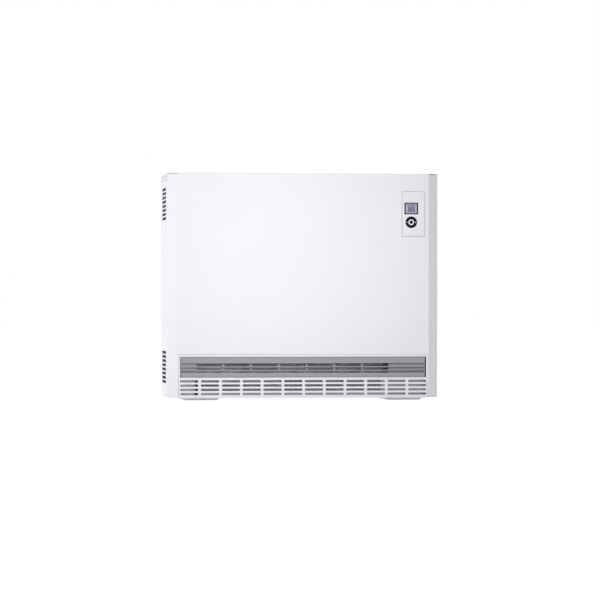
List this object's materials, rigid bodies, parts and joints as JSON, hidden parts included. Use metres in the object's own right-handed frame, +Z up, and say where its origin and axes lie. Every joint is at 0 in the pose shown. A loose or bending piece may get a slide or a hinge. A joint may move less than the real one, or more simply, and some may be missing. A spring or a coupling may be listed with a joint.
{
  "type": "storage heater",
  "caption": "Floor-standing fan storage heater with an insulated brick core, louvred warm-air outlet, hinged service panel and a flush control unit.",
  "frame": {"origin": "on the floor, under the middle of the box that holds the heater with its wall spacers", "axes": "+X to the right seen from the room, +Y from the room to the wall, +Z up; the front faces -Y"},
  "size_m": [0.78, 0.275, 0.65],
  "materials": {
    "white_paint": "satin powder coat",
    "grille_grey": "satin powder coat",
    "galvanised": "galvanised sheet",
    "foot_steel": "pale grey paint",
    "stainless": "heat-tinted sheet",
    "element_steel": "dull tube",
    "screw_steel": "dark zinc",
    "bearing_bronze": "sintered",
    "copper_coil": "taped winding",
    "magnet_steel": "laminated",
    "alu_blades": "mill finish",
    "brick_stone": "rough",
    "insulation_board": "matt board",
    "ceramic_white": "unglazed",
    "panel_plastic": "fine satin",
    "black_plastic": "fine satin",
    "housing_plastic": "matt",
    "lens": "clear",
    "lcd": "liquid crystal",
    "board_green": "solder mask",
    "component_black": "moulded",
    "terminal_white": "moulded",
    "button_red": "moulded",
    "spacer_grey": "moulded",
    "gland_grey": "moulded",
    "mesh_grey": "fine gauze",
    "filter_grey": "moulded"
  },
  "bodies": {
    "casing": {"front_panel": "white_paint", "top_cover": "white_paint", "left_side_panel": "white_paint", "right_side_panel": "white_paint", "rear_panel": "galvanised", "wall_spacers": "spacer_grey", "base_tray": "galvanised", "left_foot": "foot_steel", "right_foot": "foot_steel", "front_inner_wall": "galvanised", "inner_side_walls": "galvanised", "core_shelf": "galvanised", "support_walls": "galvanised", "air_divider": "galvanised", "insulation_base": "insulation_board", "insulation_front": "insulation_board", "insulation_rear": "insulation_board", "insulation_left": "insulation_board", "insulation_right": "insulation_board", "insulation_top": "insulation_board", "core_jacket": "stainless", "brick_stack_left": "brick_stone", "brick_stack_centre": "brick_stone", "brick_stack_right": "brick_stone", "heating_element_lower": "element_steel", "heating_element_middle": "element_steel", "heating_element_upper": "element_steel", "element_bushes": "ceramic_white", "outlet_grille": "grille_grey", "outlet_grille_screw": "screw_steel", "fan_tray": "galvanised", "motor_stator": "magnet_steel", "motor_coil": "copper_coil", "fan_bearings": "bearing_bronze", "scroll_guides": "galvanised", "bimetal_coil": "stainless", "switch_plate": "galvanised", "power_board": "board_green", "board_components": "component_black", "terminal_block": "terminal_white", "safety_cutout": "terminal_white", "core_sensor": "stainless", "cable_gland": "gland_grey", "control_bezel": "panel_plastic", "display_window": "lens", "display_module": "lcd", "control_housing": "housing_plastic", "casing_screws": "screw_steel", "panel_catches": "stainless"},
    "lower_panel": {"lower_grille_panel": "white_paint", "lint_filter_frame": "filter_grey", "lint_filter_mesh": "mesh_grey"},
    "fan_rotor": {"impellers": "alu_blades", "fan_shaft": "element_steel", "motor_rotor": "magnet_steel"},
    "flap": {"mixing_flap": "galvanised"},
    "ring": {"control_ring": "black_plastic"},
    "key": {"ok_key": "panel_plastic"},
    "reset": {"reset_button": "button_red"}
  },
  "joints": [
    {"name": "lower_panel_tilt", "type": "hinge", "parent": "casing", "child": "lower_panel", "pos_m": [0, -0.1325, 0.009], "axis": [1, 0, 0], "range_deg": [0, 75]},
    {"name": "fan_spin", "type": "hinge", "parent": "casing", "child": "fan_rotor", "pos_m": [-0.03, -0.0755, 0.0365], "axis": [1, 0, 0], "continuous": true},
    {"name": "mixing_flap_swing", "type": "hinge", "parent": "casing", "child": "flap", "pos_m": [-0.03, 0.0088, 0.122], "axis": [-1, 0, 0], "range_deg": [0, 55], "stiffness_Nm_per_rad": 0.1},
    {"name": "control_ring_rock", "type": "hinge", "parent": "casing", "child": "ring", "pos_m": [0.3115, -0.1332, 0.5107], "axis": [0, 0, 1], "range_deg": [-2, 2], "stiffness_Nm_per_rad": 0.3},
    {"name": "ok_key_press", "type": "slide", "parent": "casing", "child": "key", "axis": [0, 1, 0], "range_m": [0, 0.0008], "stiffness_N_per_m": 800},
    {"name": "reset_button_press", "type": "slide", "parent": "casing", "child": "reset", "axis": [-1, 0, 0], "range_m": [0, 0.002], "stiffness_N_per_m": 600}
  ]
}
